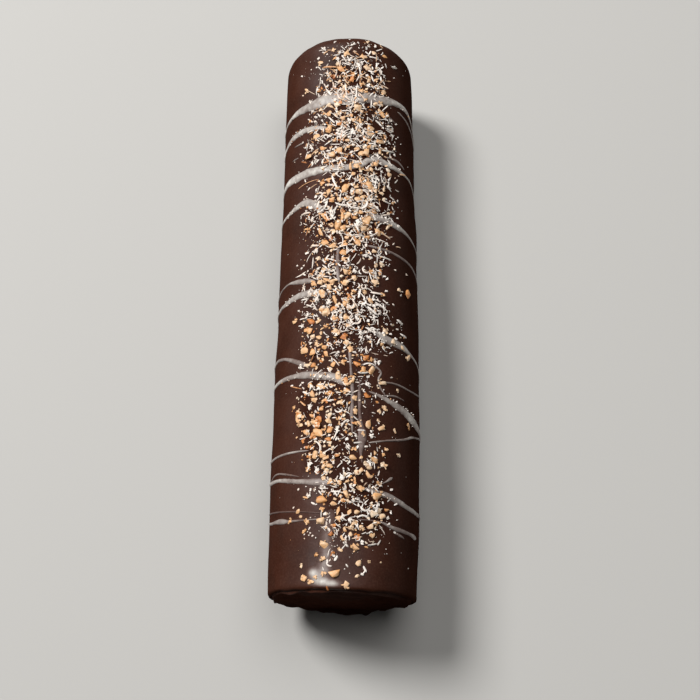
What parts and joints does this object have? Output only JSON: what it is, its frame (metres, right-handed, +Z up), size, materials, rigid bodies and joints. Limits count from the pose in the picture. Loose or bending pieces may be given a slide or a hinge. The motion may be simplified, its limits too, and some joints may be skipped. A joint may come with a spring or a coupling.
{
  "type": "chocolate swiss roll",
  "caption": "Whole chocolate-coated swiss roll with thin white drizzle and a strip of chopped nuts and coconut along the top, a cake to lie flat and slice.",
  "frame": {"origin": "middle of the base, on the surface that the roll rests on", "axes": "+Y along the roll towards its back end, +X across it, +Z up"},
  "size_m": [0.0686, 0.281, 0.0645],
  "materials": {
    "dark_chocolate": "satin",
    "white_drizzle": "satin",
    "toasted_nut": "matte",
    "coconut": "matte"
  },
  "bodies": {
    "root": {"chocolate_roll": "dark_chocolate"}
  },
  "joints": []
}
